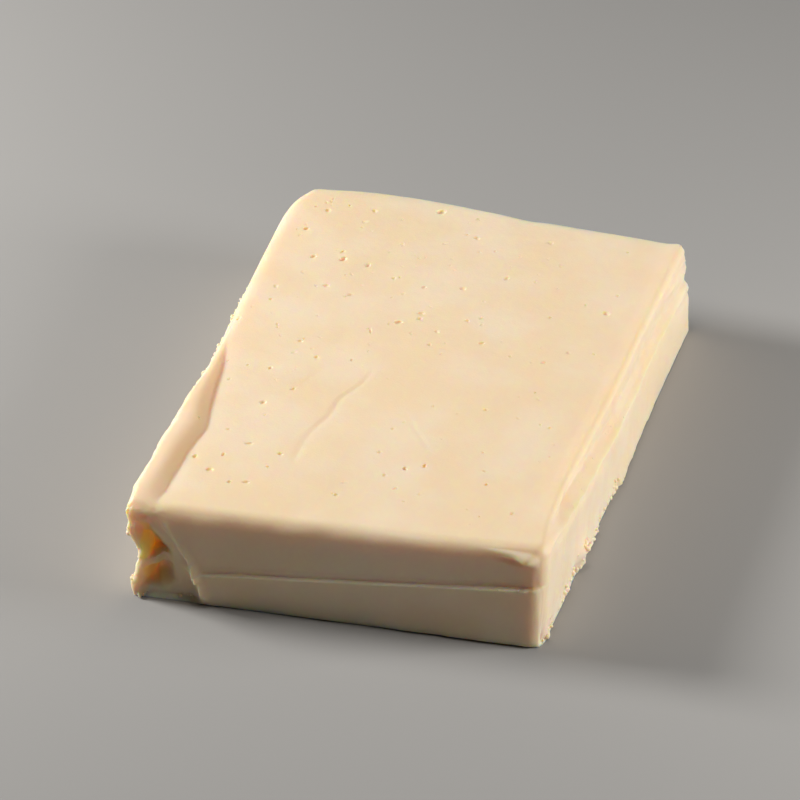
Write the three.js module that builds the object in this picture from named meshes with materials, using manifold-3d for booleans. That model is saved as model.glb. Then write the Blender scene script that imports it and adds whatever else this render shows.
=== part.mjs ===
// A block of fresh tomme: one slab of young pressed curd, rindless, cut square and taken out of its vacuum
// bag. The bag has pinched a waist round it, folded its front left corner and pressed a lip along its left
// edge. The right side is torn curd below that waist, and the cut top shows the small eyes that open while
// curd is pressed.
// Millimetres. The front cut faces -Y, the left side -X, and the slab rests on z = 0.

import * as THREE from "three";
import { mergeVertices } from "three/addons/utils/BufferGeometryUtils.js";
import Module from "manifold-3d";

// The slab as a true box. Reliefs are placed on it by distances across from the left, along from the front
// and up.
const WIDTH = 135;
const LENGTH = 195;
const THICK = 35;

// Where hand cutting and the bag have left the box's corners.
const CORNERS = {
  frontLeft: { foot: [-68.8, -99.6, 0], top: [-69.6, -99.3, 34.3] },
  frontRight: { foot: [62.8, -92.2, 0], top: [62.8, -90.5, 36] },
  backLeft: { foot: [-70.5, 100.5, 0], top: [-73.6, 100.5, 35] },
  backRight: { foot: [70.3, 98.3, 0], top: [67, 97, 35] },
};

// Radii of the edges: crisp where the wire cut them, soft where the bag rolled them.
const CUT_RADIUS = 1.1;
const FRONT_ROLL = 4.8;
const FOLDED_ROLL = 5.2;
const RIGHT_ROLL = 2;
const NUB_ROLL = 4;
const LEFT_ROLL = 3.4;
const BEVEL_ROLL = 6.4;
const FRONT_CORNER_ROLL = 5.2;
const BACK_CORNER_ROLL = 2;
const RIM_ROLL = 2.8;

// The waist that the bag's two halves left, as heights above the base.
const SEAM_LEFT = 10;
const SEAM_RIGHT = 21.5;
const RIDGE_BACK = 21.5;
const RIDGE_FRONT = 31.5;
const RIDGE_DIP = 3;
const SIDE_WAIST = 16;

// The crease inside the lip, as [along, across], and the lip's rise and crest left of it.
const CREASE = [[3, 9.6], [16, 10], [32, 10.8], [46, 12.4], [58, 9.4], [72, 6.8], [92, 3.8], [108, 2.4]];
const LIP_HEIGHT = 2.3;
const LIP_FULL_AT = 9;
const LIP_SHARE = 0.66;
const LIP_FALL = 0.34;
const CREASE_DEPTH = 0.4;
const CREASE_REACH = 2.2;
const RIGHT_LIP_HEIGHT = 0.6;
const SWAY = 0.35;

// The torn pit in the folded corner: its corners [across, up], each with the run of the slope that leads in
// from the side that starts there.
const TORN_PIT = [
  [3.6, 31.8, 2.6],
  [17.6, 24.6, 9],
  [18.6, 14, 7.5],
  [17.5, 6.5, 3.5],
  [9, 2.2, 2],
  [4.6, 4.4, 5],
];
const PIT_DEPTH = 7;

// How far the front cut stands out or in, at its left and right ends where two are given.
const LOWER_HALF_PROUD = [0.6, 1.1];
const UPPER_HALF_HOLLOW = [0.8, 1.2];
const DROOP_PROUD = 1.1;
const DROOP_UNDERCUT = 1.6;
const FOLD_PROUD = 1.5;
const FOLDED_IN = 2.6;

// The same for the right side, from its front to its back, and for the waists of the left side and the back.
const CHANNEL_DEPTH = 0.5;
const RIDGE_PROUD = 0.7;
const UNDER_RIDGE = [1, 0.4];
const STREAK_DEPTH = 0.25;
const CRUMB_PROUD = 2.2;
const CRUMB_UNDERCUT = 1.3;
const LEFT_WAIST = [3, 1.6];
const BACK_WAIST = 1.1;

// How far each side stands out of the true box: [place, distance].
const LEFT_EDGE = [
  [0, 0.2], [38, 0.2], [48, -0.7], [64, -0.9], [79, -1.9],
  [100, -0.6], [123, 0.7], [146, 1], [160, 1.3], [172, 1.5],
  [181, 1.3], [188, 0.1], [195, -3.2],
];
const GNAWED_RIM = [[0, -0.4], [2, 0.5], [9, -1.2], [15, -3.4], [20, -2.6], [23.5, 0.4], [35, 0]];
const BACK_BOW = [
  [0, 0], [9, 0.2], [28, 3.6], [50, 4.2], [73, 2.5],
  [82, 0.9], [88, 1.8], [105, 1.3], [135, -0.2],
];
const SET_BACK = [
  [0, 0], [6, -0.2], [14, -1.6], [22, -2.9], [35, -3.3], [66, -2.4],
  [96, -1.3], [130, -1], [160, -0.5], [195, 0.3],
];
const FOOT_TEAR = [
  [0, 0], [8, -0.8], [38, -0.7], [45, 0.9], [74, -0.7],
  [91, -0.1], [93.5, 1.2], [125, 0.2], [195, 0],
];

// Places of the grid lines: near an edge, over the lip, over the fold, at the foot and at the waist.
const EDGE_LINES = [0, 1.2, 2.8, 5.2];
const LIP_LINES = [7.4, 9.4, 10.8, 13.4];
const FOLD_LINES = [15.8, 18.2, 20.6, 23, 25.6];
const CELLS_ACROSS = 23;
const CELLS_ALONG = 42;
const FOOT_LINES = [0, 0.7, 1.6];
const BELOW_WAIST = [0.25, 0.5, 0.75, 1];
const ABOVE_WAIST = [0.25, 0.5, 0.7, 0.82, 0.91, 1];
const WAIST_HALF_WIDTH = 0.7;

// The larger eyes of the top: [across, along, width, length, turn in degrees].
const EYES = [
  [11.7, 168.3, 2, 1.7, 20],
  [18.2, 151.7, 2.1, 1.9, 40],
  [27.9, 152.7, 1.9, 2.2, 110],
  [36.7, 151.8, 2.2, 1.9, 15],
  [15.7, 180.2, 1.8, 1.4, 0],
  [30.2, 182.9, 1.5, 2.2, 60],
  [44.6, 166.8, 2, 1.5, 40],
  [11, 131, 1.9, 1.8, 80],
  [26.8, 135.9, 1.7, 1.5, 30],
  [35.5, 131.9, 1.7, 2.8, 125],
  [48.2, 112.9, 1.5, 3.4, 20],
  [56, 119.8, 1.3, 2.3, 110],
  [27.3, 101.3, 1.7, 1.3, 15],
  [35.2, 93.2, 1.9, 1.6, 50],
  [22.2, 83.7, 1.9, 1.3, 95],
  [33, 73.5, 2, 1.6, 50],
  [25.9, 63.8, 1.7, 1.4, 10],
  [58.1, 170.9, 1.9, 1.5, 0],
  [52, 189, 1.8, 2.6, 150],
  [63, 163, 1.9, 1.5, 25],
  [91.9, 181.6, 1.9, 1.9, 15],
  [83.4, 156.1, 1.9, 1.5, 60],
  [70.7, 145.9, 2, 1.6, 0],
  [63.9, 131.6, 1.7, 2.8, 120],
  [61.3, 126.8, 1.9, 1.7, 10],
  [85.6, 113.5, 1.9, 1.3, 20],
  [107.3, 107, 1.9, 1.4, 20],
  [120.5, 143, 1.9, 1.6, 0],
  [111.5, 84.9, 2.1, 1.5, 140],
  [107.7, 72.1, 1.6, 1.3, 0],
  [80, 36.6, 1.5, 1.9, 30],
  [86, 39.3, 1.6, 1.2, 70],
  [28.6, 40, 2, 1.4, 15],
  [22.5, 32.4, 1.8, 1.6, 60],
  [20.3, 23.6, 2.1, 1.6, 0],
  [33.4, 19, 1.7, 1.3, 0],
  [62.8, 18.3, 1.7, 1.2, 20],
  [120.6, 19, 1.6, 1.3, 70],
];
const EYE_DEPTH = 0.6;
const EYE_LIFT = 0.2;

const clamp = THREE.MathUtils.clamp;
const lerp = THREE.MathUtils.lerp;
const smooth = (value, from, to) => THREE.MathUtils.smoothstep(value, from, to);
const bump = (value, centre, half) => Math.exp(-(((value - centre) / half) ** 2));

// The height of a drawn line, given by its points, over a value.
function onLine(points, value) {
  const next = points.findIndex(([place]) => place > value);
  if (next === 0) return points[0][1];
  if (next === -1) return points.at(-1)[1];
  const [[from, first], [to, second]] = [points[next - 1], points[next]];
  return lerp(first, second, (value - from) / (to - from));
}

// Torn curd along an edge, as a wave that never repeats. Its reach is about one millimetre each way.
const RAGGED_WAVES = [[0.45, 0.55, 1], [0.35, 1.37, 2.1], [0.2, 2.9, 3.7]];
function ragged(s, seed) {
  const waves = RAGGED_WAVES.map(([reach, pace, shift]) => reach * Math.sin(pace * s + shift * seed));
  return waves.reduce((sum, wave) => sum + wave);
}

// The front cut's seam climbs to the right.
const seamHeight = (across) => lerp(SEAM_LEFT, SEAM_RIGHT, across / WIDTH);

// The right side's ridge dips at the back corner, runs level, and climbs to the top corner at the front.
function ridgeHeight(along) {
  const level = lerp(RIDGE_FRONT, RIDGE_BACK, smooth(along, -5, 105));
  return level - RIDGE_DIP * smooth(along, 160, 192);
}

// The fold's line on the front cut leans towards the top left corner.
const foldAcross = (up) => lerp(24.4, 16.4, smooth(up, 5, 30));

// How far the top stands above or below its plane: a slow sway, and the lip that crests left of its crease.
function topRelief(across, along) {
  const sway = SWAY * Math.sin(0.045 * across + 0.6) * Math.cos(0.034 * along);
  const crease = onLine(CREASE, along);
  const toCrease = across - crease;
  const reach = smooth(along, 0, 12) * (1 - smooth(along, 86, 106));
  const upToCrest = clamp(-toCrease / (LIP_SHARE * crease), 0, 1);
  const rise = LIP_HEIGHT * Math.min(crease / LIP_FULL_AT, 1) * upToCrest * (2 - upToCrest);
  const beyond = Math.max(-toCrease - LIP_SHARE * crease, 0);
  const valley = CREASE_DEPTH * Math.exp(-Math.abs(toCrease) / CREASE_REACH);
  const rightLip = RIGHT_LIP_HEIGHT * smooth(across, WIDTH - 6.5, WIDTH - 1.5) * smooth(along, 6, 40);
  return sway + (rise - LIP_FALL * beyond - valley) * reach + rightLip;
}

// How deep the torn pit is, from 0 at its outline to 1 at its floor.
function pitShare(across, up) {
  const shares = TORN_PIT.map(([a, b, run], i) => {
    const [c, d] = TORN_PIT[(i + 1) % TORN_PIT.length];
    const inside = ((across - a) * (d - b) - (up - b) * (c - a)) / Math.hypot(c - a, d - b);
    return smooth(inside, -0.3, run);
  });
  return Math.min(...shares);
}

// The front cut: a proud lower half, a hollow upper half, a drooping right corner, the fold and its torn pit.
function frontRelief(across, up) {
  const seam = seamHeight(across);
  const rightEnd = smooth(across, 100, 130);
  const clear = smooth(across, 22, 27);
  const above = smooth(up, seam - 0.1, seam + 0.6);
  const proud = lerp(...LOWER_HALF_PROUD, rightEnd) * (1 - above) * smooth(up, 0, seam) * clear;
  const hollow = lerp(...UPPER_HALF_HOLLOW, rightEnd) * above * bump(up, seam, 8.5) * clear;
  const lip = DROOP_PROUD * bump(up, 31.6, 2) - DROOP_UNDERCUT * bump(up, 28.4, 1.6);
  const droop = lip * bump(across, 128, 9);
  const fold = foldAcross(up);
  const pulledIn = smooth(across, 3.2, 6.5) * (1 - smooth(across, fold - 4.2, fold + 0.6));
  const folded = FOLDED_IN * pulledIn * (1 - smooth(up, 26, 33));
  const ridge = FOLD_PROUD * bump(across, fold, 2) * smooth(up, 4, 9) * (1 - smooth(up, 24, 29));
  return proud - hollow + droop - folded + ridge - PIT_DEPTH * pitShare(across, up);
}

// The right side: a channel over the ridge, and torn curd below it with a crumb hanging from its foot.
function rightRelief(along, up) {
  const ridge = ridgeHeight(along);
  const channel = CHANNEL_DEPTH * bump(up, ridge + 3.2, 2.4) * smooth(along, 14, 40);
  const crest = RIDGE_PROUD * bump(up, ridge, 1) * smooth(along, 6, 24);
  const deep = lerp(...UNDER_RIDGE, smooth(along, 40, 100));
  const under = deep * bump(up, ridge - 1.6, 1.4) * smooth(along, 4, 20);
  const below = 1 - smooth(up, ridge - 1.5, ridge);
  const streaks = Math.sin(0.9 * along + 0.35 * up) * below * (1 - smooth(along, 85, 115));
  const torn = 0.5 * ragged(along, 1) * (1 - smooth(along, 92, 102));
  const foot = (onLine(FOOT_TEAR, along) + torn) * (1 - smooth(up, 1, 9));
  const hanging = CRUMB_PROUD * bump(along, 45, 4.5) * bump(up, 7, 2.8);
  const bitten = CRUMB_UNDERCUT * bump(along, 40, 4) * bump(up, 2, 2.2);
  return crest - channel - under + STREAK_DEPTH * streaks + foot + hanging - bitten;
}

// The left side is drawn in between its upper and lower rims, most of all at the front.
function leftRelief(along, up) {
  const drawnIn = lerp(...LEFT_WAIST, smooth(along, 10, 70)) * smooth(along, 2, 14);
  const waist = drawnIn * Math.sin(Math.PI * clamp(up / THICK, 0, 1)) ** 1.5;
  const broken = 0.35 * ragged(along, 4) * smooth(up, 20, 28) * (1 - smooth(along, 118, 135));
  return broken - waist;
}

const backRelief = (up) => -BACK_WAIST * bump(up, SIDE_WAIST, 2.6);

// Height of the waist's line round the slab, so that the grid follows the seam and the ridge.
function waistHeight(across, along) {
  if (along === 0) return seamHeight(across);
  if (across === WIDTH) return lerp(SEAM_RIGHT, ridgeHeight(along), smooth(along, 0, 9));
  if (along === LENGTH) return lerp(SIDE_WAIST, ridgeHeight(LENGTH), smooth(across, 90, WIDTH));
  return lerp(SEAM_LEFT, SIDE_WAIST, smooth(along, 0, 40));
}

// Which way the box's surface faces at a point, turning evenly over each edge.
function facingOf(across, along, up) {
  const core = new THREE.Vector3(
    clamp(across, CUT_RADIUS, WIDTH - CUT_RADIUS),
    clamp(along, CUT_RADIUS, LENGTH - CUT_RADIUS),
    clamp(up, CUT_RADIUS, THICK - CUT_RADIUS),
  );
  return new THREE.Vector3(across, along, up).sub(core).normalize();
}

// Rolls the edge where two faces meet: takes the distances in from both faces and gives the new ones.
function rolledEdge(first, second, radius) {
  const a = 1 - first / radius;
  const b = 1 - second / radius;
  if (a <= 0 || b <= 0) return [first, second];
  const shrink = 1 - Math.max(a, b) / Math.hypot(a, b);
  return [first + radius * a * shrink, second + radius * b * shrink];
}

// Rolls the edges round the top and the upright ones, then those round the foot. The right front corner is
// rounded in plan first and its top edge is rolled over that round.
function rollEdges({ x, y, z }) {
  let [left, back, drop] = [x, LENGTH - y, THICK - z];
  const nearFold = lerp(2.4, LEFT_ROLL, smooth(y, 8, 30));
  [left, drop] = rolledEdge(left, drop, lerp(nearFold, BEVEL_ROLL, smooth(y, 84, 112)));
  [back, drop] = rolledEdge(back, drop, CUT_RADIUS);

  let [right, front] = rolledEdge(WIDTH - left, LENGTH - back, FRONT_CORNER_ROLL);
  const a = Math.max(FRONT_CORNER_ROLL - right, 0);
  const b = Math.max(FRONT_CORNER_ROLL - front, 0);
  const out = Math.max(Math.hypot(a, b), 1e-9);
  const frontRoll = lerp(FOLDED_ROLL, FRONT_ROLL, smooth(x, 10, 30));
  const rightRoll = lerp(NUB_ROLL, RIGHT_ROLL, smooth(y, 6, 30));
  const wall = FRONT_CORNER_ROLL - out;
  let inward = wall;
  [inward, drop] = rolledEdge(wall, drop, lerp(frontRoll, rightRoll, (a / out) ** 2));
  right += ((inward - wall) * a) / out;
  front += ((inward - wall) * b) / out;

  [right, back] = rolledEdge(right, LENGTH - front, BACK_CORNER_ROLL);
  [left, back] = rolledEdge(WIDTH - right, back, CUT_RADIUS);
  [left, front] = rolledEdge(left, LENGTH - back, RIM_ROLL);

  let height = THICK - drop;
  [left, height] = rolledEdge(left, height, CUT_RADIUS);
  [right, height] = rolledEdge(WIDTH - left, height, CUT_RADIUS);
  [front, height] = rolledEdge(front, height, CUT_RADIUS);
  [back, height] = rolledEdge(LENGTH - front, height, CUT_RADIUS);
  return new THREE.Vector3(WIDTH - right, LENGTH - back, height);
}

// Bends the left and back sides to their drawn lines and sets the right wall back above its ridge.
function drawSides({ x, y, z }) {
  const left = onLine(LEFT_EDGE, y) * (1 - smooth(x, 0, 30));
  const gnawed = onLine(GNAWED_RIM, z) * (1 - smooth(y, 2, 13)) * (1 - smooth(x, 0, 12));
  const ridge = ridgeHeight(y);
  const ledge = lerp(3.4, 1.5, smooth(y, 20, 100)) + 3 * smooth(y, 165, 190);
  const setBack = onLine(SET_BACK, y) * smooth(z, ridge, ridge + ledge) * smooth(x, WIDTH - 30, WIDTH);
  const bow = onLine(BACK_BOW, x) * smooth(y, LENGTH - 45, LENGTH);
  return new THREE.Vector3(x - left - gnawed + setBack, y + bow, z);
}

function pulledToCorners(point) {
  const [a, b, c] = [point.x / WIDTH, point.y / LENGTH, point.z / THICK];
  const corner = ({ foot, top }) => new THREE.Vector3(...foot).lerp(new THREE.Vector3(...top), c);
  const front = corner(CORNERS.frontLeft).lerp(corner(CORNERS.frontRight), a);
  const back = corner(CORNERS.backLeft).lerp(corner(CORNERS.backRight), a);
  return front.lerp(back, b);
}

// A point of the true box's surface, taken to the real slab: relief raised, edges rolled, corners drawn.
function slabPoint(across, along, up) {
  const facing = facingOf(across, along, up);
  const share = (amount) => Math.max(0, amount) ** 2;
  const relief =
    share(facing.z) * topRelief(across, along) +
    share(-facing.y) * frontRelief(across, up) +
    share(facing.y) * backRelief(up) +
    share(facing.x) * rightRelief(along, up) +
    share(-facing.x) * leftRelief(along, up);
  const outward = new THREE.Vector3(facing.x, facing.y, Math.max(0, facing.z));
  const raised = new THREE.Vector3(across, along, up).addScaledVector(outward, relief);
  return pulledToCorners(drawSides(rollEdges(raised)));
}

function gridLines(size, cells, extra = []) {
  const first = [...EDGE_LINES, ...extra];
  const last = EDGE_LINES.map((line) => size - line).reverse();
  const span = last[0] - first.at(-1);
  const even = Array.from({ length: cells - 1 }, (_, i) => first.at(-1) + (span * (i + 1)) / cells);
  return [...first, ...even, ...last];
}

// Heights of the wall's grid lines at one place on the outline.
function wallHeights(waist) {
  const low = FOOT_LINES.at(-1);
  const under = waist - WAIST_HALF_WIDTH;
  const over = waist + WAIST_HALF_WIDTH;
  return [
    ...FOOT_LINES,
    ...BELOW_WAIST.map((share) => lerp(low, under, share)),
    waist,
    over,
    ...ABOVE_WAIST.map((share) => lerp(over, THICK, share)),
  ];
}

// The outline of the box, once round from the front left corner, as [across, along].
function outline(linesAcross, linesAlong) {
  const sides = [
    linesAcross.map((across) => [across, 0]),
    linesAlong.map((along) => [WIDTH, along]),
    [...linesAcross].reverse().map((across) => [across, LENGTH]),
    [...linesAlong].reverse().map((along) => [0, along]),
  ];
  return sides.flatMap((side) => side.slice(0, -1));
}

const JOINED_WITHIN = 1e-4;

function slabGeometry() {
  const linesAcross = gridLines(WIDTH, CELLS_ACROSS, [...LIP_LINES, ...FOLD_LINES]);
  const linesAlong = gridLines(LENGTH, CELLS_ALONG);
  const ring = outline(linesAcross, linesAlong);
  const vertices = [];
  const triangles = [];
  const addVertex = (point) => vertices.push(point.x, point.y, point.z) / 3 - 1;
  const addQuad = (p, q, r, s) => triangles.push(p, q, r, p, r, s);

  const walls = ring.map(([across, along]) =>
    wallHeights(waistHeight(across, along)).map((up) => addVertex(slabPoint(across, along, up))),
  );
  walls.forEach((column, i) => {
    const next = walls[(i + 1) % walls.length];
    for (let j = 0; j + 1 < column.length; j++) addQuad(column[j], next[j], next[j + 1], column[j + 1]);
  });

  const top = linesAlong.map((along) =>
    linesAcross.map((across) => addVertex(slabPoint(across, along, THICK))),
  );
  top.slice(1).forEach((row, i) => {
    for (let j = 0; j + 1 < row.length; j++) addQuad(top[i][j], top[i][j + 1], row[j + 1], row[j]);
  });

  const inset = (value, size) => clamp(value, CUT_RADIUS, size - CUT_RADIUS);
  const base = ring.map(([across, along]) => slabPoint(inset(across, WIDTH), inset(along, LENGTH), 0));
  const rim = base.map((point) => addVertex(point));
  rim.forEach((vertex, i) => {
    const next = (i + 1) % rim.length;
    addQuad(vertex, rim[next], walls[next][0], walls[i][0]);
  });
  const distinct = base
    .map((point, i) => ({ point, vertex: rim[i] }))
    .filter(({ point }, i) => point.distanceTo(base.at(i - 1)) > JOINED_WITHIN);
  const flat = distinct.map(({ point }) => new THREE.Vector2(point.x, point.y));
  for (const corners of THREE.ShapeUtils.triangulateShape(flat, [])) {
    const [p, q, r] = corners.map((corner) => distinct[corner].vertex);
    triangles.push(p, r, q);
  }

  const geometry = new THREE.BufferGeometry();
  geometry.setAttribute("position", new THREE.Float32BufferAttribute(vertices, 3));
  geometry.setIndex(triangles);
  return geometry;
}

// An eye is a shallow uneven pit, cut as the lower part of a squashed ball.
function eyeGeometry([across, along, width, length, turn]) {
  const spot = slabPoint(across, along, THICK);
  const eye = new THREE.IcosahedronGeometry(1 / 2, 0);
  eye.scale(width * (1 + EYE_LIFT), length * (1 + EYE_LIFT), (width + length) * EYE_DEPTH);
  eye.rotateZ(THREE.MathUtils.degToRad(turn));
  eye.translate(spot.x, spot.y, spot.z + ((width + length) / 2) * EYE_LIFT);
  return eye;
}

const CREAM = 0xf3dab2;
const SATIN = 0.45;

const wasm = await Module();
wasm.setup();

// A watertight solid of a closed surface: points that coincide are joined and flattened triangles dropped.
function solid(geometry) {
  const bare = new THREE.BufferGeometry();
  bare.setAttribute("position", geometry.getAttribute("position").clone());
  if (geometry.index) bare.setIndex(geometry.index.clone());
  const merged = mergeVertices(bare, JOINED_WITHIN);
  const kept = [];
  for (let i = 0; i < merged.index.count; i += 3) {
    const [p, q, r] = merged.index.array.slice(i, i + 3);
    if (p !== q && q !== r && r !== p) kept.push(p, q, r);
  }
  return new wasm.Manifold(
    new wasm.Mesh({
      numProp: 3,
      vertProperties: new Float32Array(merged.attributes.position.array),
      triVerts: new Uint32Array(kept),
    }),
  );
}

function geometryOf(manifold) {
  const { vertProperties, triVerts } = manifold.getMesh();
  const geometry = new THREE.BufferGeometry();
  geometry.setAttribute("position", new THREE.BufferAttribute(vertProperties, 3));
  geometry.setIndex(new THREE.BufferAttribute(triVerts, 1));
  geometry.computeVertexNormals();
  return geometry;
}

function tommeBlock() {
  const eyes = EYES.map((eye) => solid(eyeGeometry(eye))).reduce((all, eye) => all.add(eye));
  const geometry = geometryOf(solid(slabGeometry()).subtract(eyes));
  geometry.computeBoundingBox();
  const { min, max } = geometry.boundingBox;
  geometry.translate(-(min.x + max.x) / 2, -(min.y + max.y) / 2, -min.z);
  const paste = new THREE.MeshStandardMaterial({ color: CREAM, roughness: SATIN, metalness: 0 });
  const mesh = new THREE.Mesh(geometry, paste);
  mesh.name = "tomme_block";
  return mesh;
}

const group = new THREE.Group();
group.add(tommeBlock());

export default group;
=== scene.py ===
from math import cos, pi, radians, sin

import bmesh
import bpy
import numpy as np
from mathutils import Matrix, Vector


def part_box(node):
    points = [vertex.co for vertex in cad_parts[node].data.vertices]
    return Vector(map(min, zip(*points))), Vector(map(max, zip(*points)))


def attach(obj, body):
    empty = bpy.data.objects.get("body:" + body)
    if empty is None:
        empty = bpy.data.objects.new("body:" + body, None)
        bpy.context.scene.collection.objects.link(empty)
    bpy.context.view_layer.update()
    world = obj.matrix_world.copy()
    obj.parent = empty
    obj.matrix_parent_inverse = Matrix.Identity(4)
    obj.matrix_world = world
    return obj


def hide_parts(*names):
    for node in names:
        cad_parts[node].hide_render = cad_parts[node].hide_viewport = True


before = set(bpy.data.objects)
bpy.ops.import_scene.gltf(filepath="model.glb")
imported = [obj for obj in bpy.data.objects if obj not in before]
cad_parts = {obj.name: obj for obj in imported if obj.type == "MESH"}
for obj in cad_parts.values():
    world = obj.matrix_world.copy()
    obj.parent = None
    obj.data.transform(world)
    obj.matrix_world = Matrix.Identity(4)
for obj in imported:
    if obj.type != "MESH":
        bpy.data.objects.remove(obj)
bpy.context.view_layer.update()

# The slab: one block of young pressed curd, rindless, cut square with a wire and kept in a vacuum bag.
# It is worked out as a true box first, in millimetres across from the left, along from the front and up.
# The bag's two halves left a seam round its waist, folded its front left corner and rolled its edges.

MM = 0.001
WIDTH, LENGTH, THICK = 135.0, 195.0, 35.0
CORNERS = {
    "front left": ((-68.8, -99.6, 0.0), (-69.6, -99.3, 34.3)),
    "front right": ((62.8, -92.2, 0.0), (62.8, -90.5, 36.0)),
    "back left": ((-70.5, 100.5, 0.0), (-73.6, 100.5, 35.0)),
    "back right": ((70.3, 98.3, 0.0), (67.0, 97.0, 35.0)),
}

CUT_RADIUS, SOFT_EDGE = 1.1, 3.5
FRONT_ROLL, FOLDED_ROLL = 4.8, 5.2
RIGHT_ROLL, NUB_ROLL = 2.0, 4.0
NEAR_FOLD_ROLL, LEFT_ROLL, BEVEL_ROLL = 2.4, 3.4, 6.4
FRONT_CORNER_ROLL, BACK_CORNER_ROLL = 5.2, 2.0
RIM_ROLL = 2.8

SEAM_LEFT, SEAM_RIGHT = 10.0, 21.5
RIDGE_BACK, RIDGE_FRONT, RIDGE_DIP = 21.5, 31.5, 3.0
SIDE_WAIST = 16.0


def smooth(value, start, end):
    """Rises softly from 0 to 1 as a value goes from start to end."""
    share = np.clip((value - start) / (end - start), 0, 1)
    return share * share * (3 - 2 * share)


def bump(value, centre, half):
    """A soft hump, 1 high at its centre, that falls to a third at this distance on either side."""
    return np.exp(-(((value - centre) / half) ** 2))


def mix(first, second, share):
    return first + (second - first) * share


def lumps(u, v, size, seed):
    """Random soft lumps about this many millimetres wide, from -1 to 1 and the same on every run."""
    count = 61
    heights = np.random.default_rng(seed).uniform(-1, 1, (count, count))
    column, row = np.floor(u / size), np.floor(v / size)
    a = smooth(u / size - column, 0, 1)
    b = smooth(v / size - row, 0, 1)
    column, row = column.astype(int) % count, row.astype(int) % count
    next_column, next_row = (column + 1) % count, (row + 1) % count
    near = mix(heights[column, row], heights[next_column, row], a)
    far = mix(heights[column, next_row], heights[next_column, next_row], a)
    return mix(near, far, b)


def rounded(path):
    """A drawn line with its corners cut three times, so that it bends softly."""
    path = np.array(path, float)
    for _ in range(3):
        early = mix(path[:-1], path[1:], 0.25)
        late = mix(path[:-1], path[1:], 0.75)
        path = np.vstack([path[:1], np.stack([early, late], 1).reshape(-1, 2), path[-1:]])
    return path


def beside(u, v, path):
    """How far points lie from a drawn line, positive on its right hand, and the share of it passed."""
    path = rounded(path)
    steps = np.diff(path, axis=0)
    lengths = np.hypot(*steps.T)
    passed = np.concatenate([[0], np.cumsum(lengths)])
    away = np.full(np.shape(u), 1e9)
    share = np.zeros(np.shape(u))
    for start, step, length, before in zip(path, steps, lengths, passed):
        t = np.clip(((u - start[0]) * step[0] + (v - start[1]) * step[1]) / length**2, 0, 1)
        du, dv = u - start[0] - t * step[0], v - start[1] - t * step[1]
        distance = np.hypot(du, dv)
        right = step[1] * du - step[0] * dv > 0
        closer = distance < np.abs(away)
        away = np.where(closer, np.where(right, distance, -distance), away)
        share = np.where(closer, (before + t * length) / passed[-1], share)
    return away, share


def along_path(value, path):
    """The height of a drawn line, softly bent, over each value."""
    return np.interp(value, *rounded(path).T)


# The top's marks: the lip that the bag folded up along the left rim and the crease beside it, a wavy dent
# and a short one where the bag was wrinkled, a scratch, and a low lip along the right rim.
CREASE = ((3, 9.6), (16, 10.0), (32, 10.8), (46, 12.4), (58, 9.4), (72, 6.8), (92, 3.8), (108, 2.4))
LIP_HEIGHT, LIP_FULL_AT, LIP_FALL = 2.7, 9, 0.34
RUN_AT_FRONT, RUN_AT_BACK = 0.66, 0.48
VALLEY, VALLEY_REACH = 0.4, 2.2
RIGHT_LIP, BESIDE_RIGHT_LIP = 0.6, 0.2
SWAY, WIDE_LUMPS, CLOSE_LUMPS, FRONT_LUMPS = 0.35, 0.2, 0.07, 0.1
WAVY_DENT = (
    (54.7, 92), (54, 82), (49, 72), (48.3, 66), (48.6, 62), (46, 54), (44.2, 46), (44.2, 36), (45, 30),
)  # fmt: skip
WAVY_DEPTH, WAVY_STEP = 0.32, 0.15
SHORT_DENT = ((40, 87), (36.5, 80), (33, 73))
SHORT_DEPTH = 0.18
SCRATCH = ((71.5, 68.5), (77, 60), (84.5, 49), (88.5, 41))
SCRATCH_DEPTH = 0.24
FAINT_CURVES = (((96, 89), (89, 76)), ((64, 78), (62, 70)), ((60, 30), (66, 22)), ((52, 22), (50, 14)))
FAINT_DEPTH = 0.12


def lip_lines(along):
    """How far the crease lies from the rim, and the run of the slope from there up to the lip's crest."""
    crease = np.interp(along, *np.array(CREASE).T)
    return crease, crease * mix(RUN_AT_FRONT, RUN_AT_BACK, smooth(along, 48, 80))


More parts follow.
